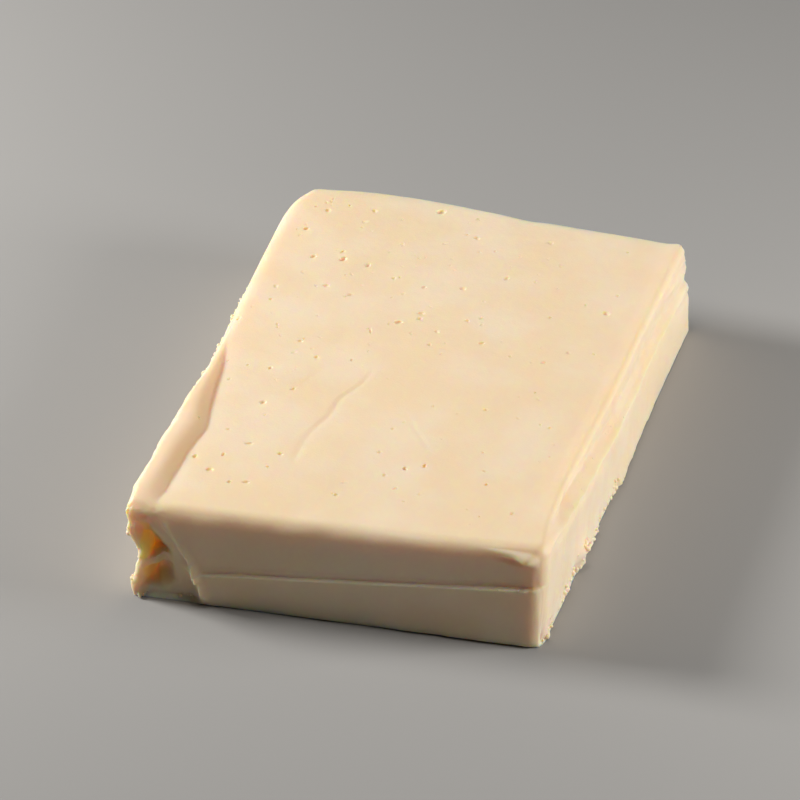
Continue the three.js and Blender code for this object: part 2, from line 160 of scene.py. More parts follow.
def top_relief(across, along):
    sway = SWAY * np.sin(0.045 * across + 0.6) * np.cos(0.034 * along)
    sway += WIDE_LUMPS * lumps(across, along, 24, 3) + CLOSE_LUMPS * lumps(across, along, 7, 4)
    near_front = 1 - smooth(along, 4, 34)
    sway += FRONT_LUMPS * near_front * lumps(across, along / 2.2, 7.5, 5)

    crease, run = lip_lines(along)
    to_crease = across - crease
    reach = smooth(along, 0, 12) * (1 - smooth(along, 76, 106))
    up_to_crest = np.clip(-to_crease / run, 0, 1)
    rim = LIP_HEIGHT * np.minimum(crease / LIP_FULL_AT, 1) * up_to_crest * (2 - up_to_crest)
    beyond = np.maximum(-to_crease - run, 0)
    rim += (0.25 * lumps(across, along, 2.6, 6) + 0.12 * lumps(across, along, 1.2, 7)) * smooth(beyond, 0, 2)
    rim -= LIP_FALL * beyond * smooth(beyond, 0, 3)
    valley = -VALLEY * np.exp(-np.abs(to_crease) / VALLEY_REACH)
    lip = (rim + valley) * reach

    right_lip = RIGHT_LIP * smooth(across, WIDTH - 6.5, WIDTH - 1.5)
    right_lip -= BESIDE_RIGHT_LIP * bump(across, WIDTH - 9, 4)
    right_lip *= smooth(along, 6, 40)

    away, share = beside(across, along, WAVY_DENT)
    ends = smooth(share, 0, 0.12) * (1 - smooth(share, 0.86, 1))
    away = -away
    wavy = -WAVY_DEPTH * bump(away, 0.5, mix(0.8, 1.4, share)) * ends
    wavy -= WAVY_STEP * smooth(away, -0.8, 0.6) * np.exp(-np.maximum(away, 0) / 4) * ends
    away, share = beside(across, along, SHORT_DENT)
    short = -SHORT_DEPTH * bump(away, 0, 1.1) * smooth(share, 0, 0.3) * (1 - smooth(share, 0.7, 1))
    away, share = beside(across, along, SCRATCH)
    scratch = -SCRATCH_DEPTH * bump(away, 0, 0.55) * smooth(share, 0, 0.1) * (1 - smooth(share, 0.55, 1))
    faint = 0.0
    for curve in FAINT_CURVES:
        away, share = beside(across, along, curve)
        faint = faint - FAINT_DEPTH * bump(away, 0, 1.4) * np.sin(pi * share)
    return sway + lip + right_lip + wavy + short + scratch + faint


# The front cut: proud below the bag's seam and hollow above it. On its left the bag folded the corner over,
# which left two ridges and two torn pits with a shelf of curd between them. On its right the top's lip rolled
# down over the cut.
UPPER_FOLD = ((14.0, 27.5), (15.2, 25.0), (18.0, 21.0), (20.9, 16.0), (22.0, 13.5), (22.6, 11.0))
LOWER_FOLD = ((16.2, 15.0), (18.2, 13.6), (21.6, 11.0), (23.4, 8.0), (24.2, 4.5))
TORN_PIT = (
    (3.0, 31.0, 2.0), (7.0, 28.2, 9.0), (15.6, 17.0, 10.0), (16.5, 6.5, 6.0), (9.0, 2.2, 3.0),
    (4.2, 4.4, 3.5),
)  # fmt: skip
ABOVE_SHELF = ((3.0, 31.0, 2.0), (7.0, 28.2, 8.0), (17.0, 16.4, 1.0), (3.8, 14.6, 2.2))
BELOW_SHELF = ((3.9, 11.4, 0.7), (17.0, 13.2, 8.0), (16.5, 6.5, 5.0), (9.0, 2.2, 3.0), (4.2, 4.4, 3.0))
SHELF_HEIGHT, PIT_DEPTH = 13.3, 5.8
FOLD_DEPTH, UPPER_RIDGE, LOWER_RIDGE = 2.6, 1.7, 2.0
PROUD_LEFT, PROUD_RIGHT = 0.7, 1.0
HOLLOW_LEFT, HOLLOW_RIGHT = 0.5, 0.9
GROOVE, SECOND_GROOVE = 0.07, 0.16
ROLLED_LIP = ((108, 33.6), (117, 32.6), (124, 31.0), (133, 29.0))
ROLL_RISE, ROLL_PINCH, NUB_RISE = 1.3, 1.3, 1.3


def seam_height(across):
    return mix(SEAM_LEFT, SEAM_RIGHT, across / WIDTH)


def pit(across, up, outline):
    """How deep a pit is, 0 at its outline and 1 at its floor. Each side slopes in over a run of its own."""
    depth = np.full(np.shape(across), 1.0)
    for (a, b, run), (c, d, _) in zip(outline, outline[1:] + outline[:1]):
        inside = ((across - a) * (d - b) - (up - b) * (c - a)) / np.hypot(c - a, d - b)
        depth = np.minimum(depth, smooth(inside, -0.3, run))
    return depth


def torn_pits(across, up):
    """The folded corner's two pits, which run together beyond the shelf between them."""
    parted = np.maximum(pit(across, up, ABOVE_SHELF), pit(across, up, BELOW_SHELF))
    return np.maximum(parted * (across < 13), pit(across, up, TORN_PIT) * smooth(across, 7.5, 12.5))


def front_relief(across, up):
    seam = seam_height(across)
    right_end = smooth(across, 100, 130)
    clear = smooth(across, 22, 27)
    above = smooth(up, seam - 0.1, seam + 0.3)
    proud = mix(PROUD_LEFT, PROUD_RIGHT, right_end) * (1 - above) * smooth(up, 0, seam) * clear
    clear_above = clear * (1 - 0.7 * smooth(across, 121, 131))
    hollow = -mix(HOLLOW_LEFT, HOLLOW_RIGHT, right_end) * above * bump(up, seam, 8.5) * clear_above
    groove = -GROOVE * bump(up, seam + 0.9, 0.5) * clear_above
    second = -SECOND_GROOVE * bump(up, seam + mix(3.2, 1.6, across / WIDTH), 0.35) * clear_above
    bits = 0.25 * lumps(across, up * 0, 1.3, 11) * bump(up, seam - 0.2, 0.8) * clear
    smear = 0.5 * bump(up, 1.6, 2.2) * smooth(across, 78, 100)
    waves = 0.3 * lumps(across, up / 3, 9, 12) + 0.1 * lumps(across, up / 1.5, 3.5, 13)

    away, share = beside(across, up, ROLLED_LIP)
    rolled = smooth(share, 0.02, 0.6)
    pinch = -ROLL_PINCH * bump(away, 0.5, 0.9) * smooth(share, 0.3, 0.75) * (1 - smooth(across, 127, 132))
    roll = ROLL_RISE * bump(away, -2.0, 1.7) * rolled * (1 - smooth(across, 129, 134))
    nub = NUB_RISE * bump(across, 128.5, 3.0) * bump(up, 30.8, 1.9)

    upper_away, upper_share = beside(across, up, UPPER_FOLD)
    lower_away, lower_share = beside(across, up, LOWER_FOLD)
    fold = np.interp(up, [5, 12, 16, 20.5, 28.5], [24.0, 22.6, 21.0, 18.4, 13.6])
    pit_top = np.interp(across, [4, 18], [31.2, 25.0])
    pulled_in = smooth(across, 3.2, 6.5) * (1 - smooth(across, fold - 4.2, fold + 0.6))
    folded = -FOLD_DEPTH * pulled_in * (1 - smooth(up, pit_top, 33.5))
    upper_ridge = UPPER_RIDGE * bump(upper_away, 0.2, 1.3) * smooth(upper_share, 0.05, 0.5)
    lower_ridge = LOWER_RIDGE * bump(lower_away, -0.2, 1.6) * smooth(lower_share, 0, 0.3)
    torn_in = -PIT_DEPTH * torn_pits(across, up)
    torn = 0.35 * lumps(across, up, 1.6, 14) * (1 - smooth(across, 10, 17))
    cut = proud + hollow + groove + second + bits * mix(0.3, 1.6, right_end) + smear + waves
    return cut + pinch + roll + nub + folded + upper_ridge + lower_ridge + torn_in + torn


# The right side: it was torn and not cut. The wall above the ridge is set back behind a ledge, with a shallow
# channel over it, and the torn curd below hangs to the foot.
SET_BACK = (
    (0, 0.0), (6, -0.2), (14, -1.6), (22, -2.9), (35, -3.3), (66, -2.4), (96, -1.3), (130, -1.0), (160, -0.5),
    (195, 0.3),
)  # fmt: skip
FOOT_TEAR = (
    (0, 0.0), (8, -0.8), (22, -0.6), (38, -0.7), (45, 0.9), (55, 0.6), (66, -0.2), (74, -0.7), (83, -0.4),
    (91, -0.1), (93.5, 1.2), (110, 0.8), (125, 0.2), (155, -0.3), (188, -0.2), (195, 0.0),
)  # fmt: skip
LEDGE_FRONT, LEDGE_BACK = 3.4, 1.5
CHANNEL_DEPTH, CREST, BACK_BULGE = 1.2, 0.9, 0.8
LARGE_CRUMB, SMALL_CRUMB, UNDERCUT = 2.2, 0.9, 1.3


def ridge_height(along):
    """The ridge falls from the front corner towards the back and dips once more at its end."""
    return mix(RIDGE_FRONT, RIDGE_BACK, smooth(along, -5, 105)) - RIDGE_DIP * smooth(along, 160, 192)


def right_relief(along, up):
    ridge = ridge_height(along)
    in_channel = smooth(up, ridge + 1, ridge + 3) * (1 - smooth(up, 31, 34)) * smooth(along, 14, 40)
    channel = -CHANNEL_DEPTH * bump(up, ridge + 3.8, 3.0) * in_channel
    fibres = (0.2 * lumps(along / 3.5, up, 0.9, 22) + 0.3 * lumps(along / 5, up, 1.7, 23)) * in_channel
    wobble = 0.25 * lumps(along, up * 0, 6, 21)
    crest_ends = smooth(along, 10, 30) * (1 - 0.7 * smooth(along, 165, 190))
    crest = (CREST + wobble) * bump(up, ridge, 0.8) * crest_ends
    out_at_back = BACK_BULGE * smooth(along, 150, 190) * bump(up, 17, 9)

    below = 1 - smooth(up, ridge - 1.2, ridge - 0.2)
    under = -mix(1.1, 0.4, smooth(along, 40, 100)) * bump(up, ridge - 1.6, 1.3) * smooth(along, 4, 20)
    leaning = along - 0.35 * up
    streaks = 0.34 * lumps(leaning, up / 4, 4.2, 24) + 0.08 * lumps(leaning, up / 5, 1.7, 25)
    torn = below * streaks * mix(1.0, 0.4, smooth(along, 85, 115))
    at_foot = 1 - smooth(up, 1, 9)
    ragged = 0.5 * lumps(along, up, 2.6, 26) + 0.3 * lumps(along, up, 1.1, 27)
    tear = np.interp(along, *np.array(FOOT_TEAR).T) * at_foot
    tear += ragged * at_foot * mix(1.0, 0.25, smooth(along, 92, 102))
    hanging = LARGE_CRUMB * bump(along, 45, 4.5) * bump(up, 7, 2.6)
    hanging += SMALL_CRUMB * bump(along, 50, 2.5) * bump(up, 10.5, 1.8)
    undercut = -UNDERCUT * bump(along, 40, 4) * bump(up, 2, 2.2)
    return channel + fibres + crest + out_at_back + under + torn + tear + hanging + undercut


# The left side: the bag drew it in between its two rims, most of all behind the folded corner. Its top rim
# is broken, and the corner itself is gnawed where curd came away.
LEFT_EDGE = (
    (0, 0.2), (20, -0.2), (38, 0.2), (48, -0.7), (64, -0.9), (79, -1.9), (90, -1.5), (100, -0.6), (110, 0.2),
    (123, 0.7), (146, 1.0), (160, 1.3), (172, 1.5), (181, 1.3), (188, 0.1), (195, -3.2),
)  # fmt: skip
GNAWED_RIM = (
    (0, -0.4), (2, 0.5), (5, 0.2), (9, -1.2), (15, -3.4), (20, -2.6), (23.5, 0.4), (27, -0.3), (31, -0.2),
    (35, 0),
)  # fmt: skip
DRAWN_IN_FRONT, DRAWN_IN_BACK = 3.0, 1.6
GNAWED_LUMPS = 0.55


def left_relief(along, up):
    drawn_in = mix(DRAWN_IN_FRONT, DRAWN_IN_BACK, smooth(along, 10, 70)) * smooth(along, 2, 14)
    waist = -drawn_in * np.sin(pi * np.clip(up / THICK, 0, 1)) ** 1.5
    at_rim = smooth(up, 20, 28)
    broken = (0.35 * lumps(along, up, 2.2, 31) + 0.25 * lumps(along, up, 0.9, 32)) * at_rim
    broken *= smooth(along, 2, 10) * mix(1.0, 0.12, smooth(along, 118, 135))
    return waist + broken + 0.2 * lumps(along, up, 12, 34)


# The back cut: it bows out a little where the wire ran slack, and the seam and the wire left faint lines
# across it.
BACK_BOW = ((0, 0), (9, 0.2), (28, 3.6), (50, 4.2), (73, 2.5), (82, 0.9), (88, 1.8), (105, 1.3), (135, -0.2))
BACK_WAIST = 1.1


def back_relief(across, up):
    waist = -BACK_WAIST * bump(up, SIDE_WAIST, 2.2)
    wire = 0.05 * lumps(across / 6, up, 0.8, 41) + 0.15 * lumps(across, up, 8, 42)
    return waist + wire


def rolled_edge(first, second, radius):
    """Rolls the edge where two faces meet: takes the distances in from both faces and gives the new ones."""
    a = np.maximum(1 - first / radius, 0)
    b = np.maximum(1 - second / radius, 0)
    shrink = 1 - np.maximum(a, b) / np.maximum(np.hypot(a, b), 1e-9)
    shrink = np.where((a > 0) & (b > 0), shrink, 0)
    return first + radius * a * shrink, second + radius * b * shrink


def roll_edges(x, y, z):
    """Rolls the edges round the top and the upright ones, then those round the foot.

    The front right corner is rounded first, seen from above, and its top edge is then rolled over that round.
    """
    right, back, drop = WIDTH - x, LENGTH - y, THICK - z
    near_fold = mix(NEAR_FOLD_ROLL, LEFT_ROLL, smooth(y, 8, 30))
    left, drop = rolled_edge(WIDTH - right, drop, mix(near_fold, BEVEL_ROLL, smooth(y, 84, 112)))
    back, drop = rolled_edge(back, drop, CUT_RADIUS)

    right, front = rolled_edge(WIDTH - left, LENGTH - back, FRONT_CORNER_ROLL)
    a = np.maximum(FRONT_CORNER_ROLL - right, 0)
    b = np.maximum(FRONT_CORNER_ROLL - front, 0)
    out = np.maximum(np.hypot(a, b), 1e-9)
    front_roll = mix(FOLDED_ROLL, FRONT_ROLL, smooth(x, 10, 30))
    right_roll = mix(NUB_ROLL, RIGHT_ROLL, smooth(y, 6, 30))
    wall = FRONT_CORNER_ROLL - out
    rolled, drop = rolled_edge(wall, drop, mix(front_roll, right_roll, (a / out) ** 2))
    right = right + (rolled - wall) * a / out
    front = front + (rolled - wall) * b / out

    right, back = rolled_edge(right, LENGTH - front, BACK_CORNER_ROLL)
    left, back = rolled_edge(WIDTH - right, back, CUT_RADIUS)
    left, front = rolled_edge(left, LENGTH - back, RIM_ROLL)

    height = THICK - drop
    left, height = rolled_edge(left, height, CUT_RADIUS)
    right, height = rolled_edge(WIDTH - left, height, CUT_RADIUS)
    front, height = rolled_edge(front, height, CUT_RADIUS)
    back, height = rolled_edge(LENGTH - front, height, CUT_RADIUS)
    return WIDTH - right, LENGTH - back, height


def draw_sides(x, y, z):
    """Bends the left and back sides to their drawn lines and sets the right wall back above its ridge."""
    x = x - along_path(y, LEFT_EDGE) * (1 - smooth(x, 0, 30))
    gnawed = along_path(z, GNAWED_RIM) + GNAWED_LUMPS * lumps(z, y, 2.4, 33)
    x = x - gnawed * (1 - smooth(y, 2, 13)) * (1 - smooth(x, 0, 12))
    y = y + along_path(x, BACK_BOW) * smooth(y, LENGTH - 45, LENGTH)
    ridge = ridge_height(y)
    ledge = mix(LEDGE_FRONT, LEDGE_BACK, smooth(y, 20, 100)) + RIDGE_DIP * smooth(y, 165, 190)
    depth = np.interp(y, *np.array(SET_BACK).T)
    return x + depth * smooth(z, ridge + 0.1, ridge + ledge) * smooth(x, WIDTH - 30, WIDTH), y, z


def slab_points(across, along, up):
    """Takes points of the true box's surface to the real slab: raised, rolled at the edges and pulled."""
    box = np.stack(np.broadcast_arrays(across, along, up), -1).astype(float)
    across, along, up = box[..., 0], box[..., 1], box[..., 2]
    soft = mix(CUT_RADIUS, SOFT_EDGE, smooth(up, 8, 24))
    core = np.stack([
        np.clip(across, CUT_RADIUS, WIDTH - soft),
        np.clip(along, soft, LENGTH - CUT_RADIUS),
        np.clip(up, CUT_RADIUS, THICK - SOFT_EDGE),
    ], -1)  # fmt: skip
    normal = box - core
    normal /= np.linalg.norm(normal, axis=-1, keepdims=True)
    facing = np.maximum(np.concatenate([normal, -normal], -1), 0) ** 2
    relief = (
        facing[..., 0] * right_relief(along, up)
        + facing[..., 1] * back_relief(across, up)
        + facing[..., 2] * top_relief(across, along)
        + facing[..., 3] * left_relief(along, up)
        + facing[..., 4] * front_relief(across, up)
    )
    outward = normal * [1, 1, 0] + np.maximum(normal, 0) * [0, 0, 1]
    raised = box + outward * relief[..., None]

    drawn = np.stack(draw_sides(*roll_edges(*np.moveaxis(raised, -1, 0))), -1)
    a, b, c = np.moveaxis(drawn / [WIDTH, LENGTH, THICK], -1, 0)[..., None]
    corner = {name: mix(np.array(foot), np.array(top), c) for name, (foot, top) in CORNERS.items()}
    front = mix(corner["front left"], corner["front right"], a)
    back = mix(corner["back left"], corner["back right"], a)
    return mix(front, back, b)


def grid_lines(size, coarse, fine_places):
    """Places of a grid's lines from 0 to size, this far apart, and closer near some places."""
    at = np.linspace(0, size, 4000)
    spacing = np.full(at.shape, coarse)
    for place, half, fine in fine_places:
        spacing = np.minimum(spacing, mix(coarse, fine, bump(at, place, half)))
    count = np.concatenate([[0], np.cumsum((1 / spacing[1:] + 1 / spacing[:-1]) / 2 * np.diff(at))])
    return np.interp(np.linspace(0, count[-1], int(np.ceil(count[-1])) + 1), count, at)


LINES_ACROSS = grid_lines(WIDTH, 1.6, ((0, 22, 0.46), (50, 10, 0.65), (80, 9, 0.7), (WIDTH, 12, 0.42)))
LINES_ALONG = grid_lines(LENGTH, 1.25, ((0, 6, 0.42), (45, 40, 0.62), (LENGTH, 5, 0.45)))
FOOT_LEVELS = np.array([0.0, 0.3, 0.65, 1.1])
LEVELS_BELOW = grid_lines(1, 0.065, ((1, 0.12, 0.014),))[1:]
LEVELS_ABOVE = grid_lines(1, 0.04, ((0, 0.14, 0.014), (1, 0.12, 0.022)))[1:]


def waist_height(across, along):
    """Height of the seam, the ridge or the waist, whichever the side at this place has."""
    if along == 0:
        return mix(SHELF_HEIGHT, seam_height(across), smooth(across, 10, 21))
    if across == WIDTH:
        return mix(SEAM_RIGHT, ridge_height(along), smooth(along, 0, 9))
    if along == LENGTH:
        return mix(SIDE_WAIST, ridge_height(LENGTH), smooth(across, 90, WIDTH))
    return mix(SHELF_HEIGHT, SIDE_WAIST, smooth(along, 0, 40))


def slab_surface():
    """The slab's points and faces: walls in columns, the top as a grid, and one flat face to stand on."""
    ring = [(x, 0.0) for x in LINES_ACROSS[:-1]]
    ring += [(WIDTH, y) for y in LINES_ALONG[:-1]]
    ring += [(x, LENGTH) for x in LINES_ACROSS[:0:-1]]
    ring += [(0.0, y) for y in LINES_ALONG[:0:-1]]
    ring = np.array(ring)
    waist = np.array([waist_height(x, y) for x, y in ring])[:, None]
    low = FOOT_LEVELS[-1]
    levels = np.hstack([
        np.broadcast_to(FOOT_LEVELS, (len(ring), len(FOOT_LEVELS))),
        mix(low, waist, LEVELS_BELOW),
        mix(waist, THICK, LEVELS_ABOVE),
    ])
    walls = slab_points(ring[:, :1], ring[:, 1:], levels)
    top = slab_points(LINES_ACROSS[None, :], LINES_ALONG[:, None], THICK)
    inset = np.clip(ring, CUT_RADIUS, np.array([WIDTH, LENGTH]) - CUT_RADIUS)
    base = slab_points(inset[:, 0], inset[:, 1], 0.0)

    columns, heights = levels.shape
    wall = np.arange(columns * heights).reshape(columns, heights)
    beside_it = np.roll(wall, -1, 0)
    wall_faces = np.stack([wall[:, :-1], beside_it[:, :-1], beside_it[:, 1:], wall[:, 1:]], -1)
    sheet = wall.size + np.arange(top[..., 0].size).reshape(top.shape[:2])
    top_faces = np.stack([sheet[:-1, :-1], sheet[:-1, 1:], sheet[1:, 1:], sheet[1:, :-1]], -1)
    rim = wall.size + sheet.size + np.arange(columns)
    foot_faces = np.stack([rim, np.roll(rim, -1), beside_it[:, 0], wall[:, 0]], -1)
    points = np.vstack([walls.reshape(-1, 3), top.reshape(-1, 3), base])
    faces = np.vstack([wall_faces.reshape(-1, 4), top_faces.reshape(-1, 4), foot_faces]).tolist()
    faces.append(rim[::-1].tolist())
    return points, faces


def piece_of(name, points, faces):
    """A mesh piece from points in millimetres, with doubled points joined and faces turned outwards."""
    mesh = bpy.data.meshes.new(name)
    mesh.from_pydata((np.asarray(points) * MM).tolist(), [], faces)
    work = bmesh.new()
    work.from_mesh(mesh)
    bmesh.ops.remove_doubles(work, verts=work.verts, dist=0.002 * MM)
    bmesh.ops.dissolve_degenerate(work, edges=work.edges, dist=0.001 * MM)
    bmesh.ops.recalc_face_normals(work, faces=work.faces)
    work.to_mesh(mesh)
    work.free()
    piece = bpy.data.objects.new(name, mesh)
    bpy.context.scene.collection.objects.link(piece)
    return piece


points, faces = slab_surface()
low, high = (np.array(corner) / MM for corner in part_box("tomme_block"))
SHIFT = np.array([*(low + high - points.min(0) - points.max(0))[:2] / 2, 0.0])
block = piece_of("tomme_paste_block", points + SHIFT, faces)

# Where the block's paste is painted: an amber glow is painted behind the torn pits, where the rim is thin,
# and tan shade is painted on the slope between the lip's crest and its crease. It is paler where it is torn,
# at the foot of the right side and of the folded corner, and a paler painted highlight runs along the front's
# seam and the fold's ridges.

x, y, z = (np.array([vertex.co for vertex in block.data.vertices]) / MM - SHIFT).T
front_left, front_right = CORNERS["front left"][0], CORNERS["front right"][0]
across = (x - front_left[0]) / (front_right[0] - front_left[0]) * WIDTH
behind_front = y - mix(front_left[1], front_right[1], across / WIDTH)

# Painted glow: amber is painted where the rim behind the torn pits is thin, in place of light shining through
# it.
thin = smooth(torn_pits(across, z), 0, 0.4) * (1 - smooth(across, 6, 11.5)) * (y < front_left[1] + 14)

right_foot = smooth(x, 60, 62) * (1 - smooth(z, 5, 12)) * (1 - smooth(y, -12, 0))
folded_foot = (1 - smooth(z, 2, 5)) * (1 - smooth(across, 22, 26)) * (y < -90)
# Painted highlight: the seam's ledge and the fold's ridges are marked to be painted paler.
painted_highlight_lines = bump(z, seam_height(across), 0.6) * smooth(across, 21, 24)
for fold in (UPPER_FOLD, LOWER_FOLD):
    to_fold, share = beside(across, z, fold)
    painted_highlight_lines = np.maximum(painted_highlight_lines, bump(to_fold, 0, 0.9) * smooth(share, 0.02, 0.3))
# The torn mark is real pale torn curd at the two feet and a painted highlight along the seam and the ridges.
torn = np.maximum(np.maximum(right_foot, folded_foot), 0.85 * painted_highlight_lines * (behind_front < 5))

# Painted shade: tan is painted on the lip's slope between its crest and the crease.
rim_start, rim_end = CORNERS["front left"][1], CORNERS["back left"][1]
share = (y - rim_start[1]) / (rim_end[1] - rim_start[1])
along = share * LENGTH
from_rim = x - mix(rim_start[0], rim_end[0], share) + along_path(along, LEFT_EDGE)
crease, run = lip_lines(along)
lip_shade = smooth(from_rim, crease - run, crease - 0.1 * run)
lip_shade = lip_shade * (1 - smooth(from_rim, crease - 0.3, crease + 0.6))
lip_shade *= (z > 30) * smooth(along, 2, 22) * (1 - smooth(along, 76, 98))

# The eyes: small openings that gas left in the young curd, laid open by the cut, most of them at the back
# left. Each is an uneven hollow from a pinprick to 3 mm wide. The larger ones are given by their place across
# and along, their width, their length and their turn in degrees. The pinholes are strewn between them.

EYES = (
    (11.7, 168.3, 2.0, 1.7, 20), (10.6, 163.4, 1.5, 1.3, 70), (18.2, 151.7, 2.1, 1.9, 40),
    (27.9, 152.7, 1.9, 2.2, 110), (36.7, 151.8, 2.2, 1.9, 15), (15.7, 180.2, 1.8, 1.4, 0),
    (30.2, 182.9, 1.5, 2.2, 60), (26.6, 157.0, 1.1, 1.7, 150), (44.6, 166.8, 2.0, 1.5, 40),
    (28.9, 175.6, 1.2, 1.9, 20), (14.8, 186.6, 1.0, 1.3, 0), (11.0, 131.0, 1.9, 1.8, 80),
    (6.9, 117.3, 1.6, 1.3, 40), (11.9, 123.2, 1.2, 1.1, 0), (3.8, 109.6, 1.5, 1.2, 60),
    (26.8, 135.9, 1.7, 1.5, 30), (35.5, 131.9, 1.7, 2.8, 125), (48.2, 112.9, 1.5, 3.4, 20),
    (53.1, 117.9, 1.4, 1.5, 20), (56.0, 119.8, 1.3, 2.3, 110), (27.3, 101.3, 1.7, 1.3, 15),
    (27.3, 94.4, 1.6, 1.4, 20), (32.2, 97.8, 1.2, 1.1, 50), (35.2, 93.2, 1.9, 1.6, 50),
    (22.2, 83.7, 1.9, 1.3, 95), (10.1, 74.2, 1.6, 1.3, 20), (33.0, 73.5, 2.0, 1.6, 50),
    (25.9, 63.8, 1.7, 1.4, 10), (26.1, 77.6, 1.2, 1.0, 0), (47.1, 94.0, 1.1, 1.3, 0),
    (58.1, 170.9, 1.9, 1.5, 0), (63.9, 178.1, 1.5, 1.2, 30), (67.8, 177.1, 1.3, 1.7, 70),
    (52.0, 189.0, 1.8, 2.6, 150), (64.9, 188.5, 1.2, 1.4, 0), (63.0, 163.0, 1.9, 1.5, 25),
    (91.9, 181.6, 1.9, 1.9, 15), (83.4, 156.1, 1.9, 1.5, 60), (58.1, 142.9, 1.6, 1.3, 0),
    (70.7, 145.9, 2.0, 1.6, 0), (63.9, 131.6, 1.7, 2.8, 120), (61.3, 126.8, 1.9, 1.7, 10),
    (62.1, 123.0, 1.9, 2.0, 40), (77.6, 125.7, 1.3, 1.1, 0), (82.5, 124.7, 1.6, 1.4, 40),
    (81.5, 128.7, 1.2, 1.5, 0), (69.8, 116.7, 1.2, 1.7, 70), (85.6, 113.5, 1.9, 1.3, 20),
    (69.3, 108.6, 1.1, 1.2, 0), (114.1, 115.2, 1.4, 1.1, 90), (107.3, 107.0, 1.9, 1.4, 20),
    (120.5, 143.0, 1.9, 1.6, 0), (121.3, 155.4, 1.2, 1.4, 0), (126.5, 110.8, 1.2, 1.0, 0),
    (111.5, 84.9, 2.1, 1.5, 140), (79.8, 73.0, 1.2, 1.5, 0), (96.7, 74.5, 1.5, 1.2, 10),
    (88.8, 70.7, 1.1, 1.0, 0), (107.7, 72.1, 1.6, 1.3, 0), (119.7, 69.7, 1.3, 1.1, 0),
    (123.9, 60.2, 1.5, 1.3, 20), (125.0, 52.9, 1.2, 1.2, 0), (105.1, 40.4, 1.5, 1.2, 0),
    (80.0, 36.6, 1.5, 1.9, 30), (86.0, 39.3, 1.6, 1.2, 70), (75.0, 31.7, 1.4, 1.2, 0),
    (80.0, 25.4, 1.5, 1.2, 30), (88.1, 24.0, 1.3, 1.1, 0), (120.6, 19.0, 1.6, 1.3, 70),
    (28.6, 40.0, 2.0, 1.4, 15), (22.5, 32.4, 1.8, 1.6, 60), (20.3, 23.6, 2.1, 1.6, 0),
    (28.4, 18.2, 1.5, 1.2, 25), (33.4, 19.0, 1.7, 1.3, 0), (62.8, 18.3, 1.7, 1.2, 20),
    (39.7, 36.5, 1.5, 1.2, 0), (13.4, 29.9, 1.3, 1.6, 0), (38.0, 28.5, 1.2, 1.1, 0),
    (19.3, 46.0, 1.4, 1.1, 10), (70.0, 44.0, 1.2, 1.1, 0),
)  # fmt: skip
PINHOLES = 90
EYE_LUMPINESS, EYE_SPREAD, EYE_RAISED = 0.5, 0.66, 0.55
MARKS = ("eye", "torn", "thin", "lip")


def lumpy_ball(detail, dice, lumpiness):
    """Points and faces of a ball of radius 1 with seven soft lumps and hollows."""
    work = bmesh.new()
    bmesh.ops.create_icosphere(work, subdivisions=detail, radius=1)
    ball = np.array([vertex.co for vertex in work.verts])
    ball_faces = [[vertex.index for vertex in face.verts] for face in work.faces]
    work.free()
    reach = np.ones(len(ball))
    for _ in range(7):
        towards = dice.normal(size=3)
        towards /= np.linalg.norm(towards)
        reach += dice.uniform(-lumpiness, lumpiness) * np.exp((ball @ towards - 1) / 0.3)
    return ball * np.maximum(reach, 0.4)[:, None], ball_faces


def cut_or_join(pieces, operation):
    """Cuts the small pieces out of the block or joins them to it, and clears them away."""
    group = bpy.data.collections.new(operation)
    bpy.context.scene.collection.children.link(group)
    for piece in pieces:
        group.objects.link(piece)
    change = block.modifiers.new(operation, "BOOLEAN")
    change.operation = operation
    change.operand_type = "COLLECTION"
    change.collection = group
    change.solver = "MANIFOLD"
    graph = bpy.context.evaluated_depsgraph_get()
    changed = bpy.data.meshes.new_from_object(block.evaluated_get(graph))
    block.modifiers.clear()
    block.data = changed
    for piece in pieces:
        bpy.data.objects.remove(piece)
    bpy.data.collections.remove(group)


def mark(piece, **amounts):
    """Stores at every point of a piece how much of each mark it has, for its finish to use."""
    for name in MARKS:
        stored = piece.data.attributes.new(name, "FLOAT", "POINT")
        amount = np.broadcast_to(amounts.get(name, 0.0), len(piece.data.vertices))
        stored.data.foreach_set("value", amount.astype(np.float32))


def eye(across, along, width, length, turn, dice):
    """An uneven ball, raised over the top so that only its lower part cuts an eye into it."""
    ball, ball_faces = lumpy_ball(3 if width > 1.7 else 2, dice, EYE_LUMPINESS)
    depth = dice.uniform(0.6, 0.85) * (width + length) / 2
    ball = ball * [EYE_SPREAD * width, EYE_SPREAD * length, depth]
    a = radians(turn)
    ball = ball @ np.array([[cos(a), sin(a), 0], [-sin(a), cos(a), 0], [0, 0, 1]])
    place = slab_points(across, along, THICK) + SHIFT + [0, 0, EYE_RAISED * depth]
    hollow = piece_of("eye", ball + place, ball_faces)
    mark(hollow, eye=1.0)
    return hollow


dice = np.random.default_rng(7)
eyes = [eye(*size, dice) for size in EYES]
while len(eyes) < len(EYES) + PINHOLES:
    across, along = dice.uniform(6, WIDTH - 12), dice.uniform(6, LENGTH - 6)
    crowd = 0.3 + 0.7 * smooth(along, 60, 150) * (1 - smooth(across, 55, 120))
    if dice.uniform() < crowd:
        width, length = dice.uniform(0.5, 1.05), dice.uniform(0.5, 1.2)
        eyes.append(eye(across, along, width, length, dice.uniform(0, 180), dice))
mark(block, torn=torn, thin=thin, lip=lip_shade)
cut_or_join(eyes, "DIFFERENCE")

# The crumbs: bits of curd that hang where the block was torn and not cut, some of them grains of half
# a millimetre. They stand along the left rim, on the gnawed front left corner, on the front's ledge and round
# the torn foot. Each row runs between two places on the true box, with its count and its sizes.

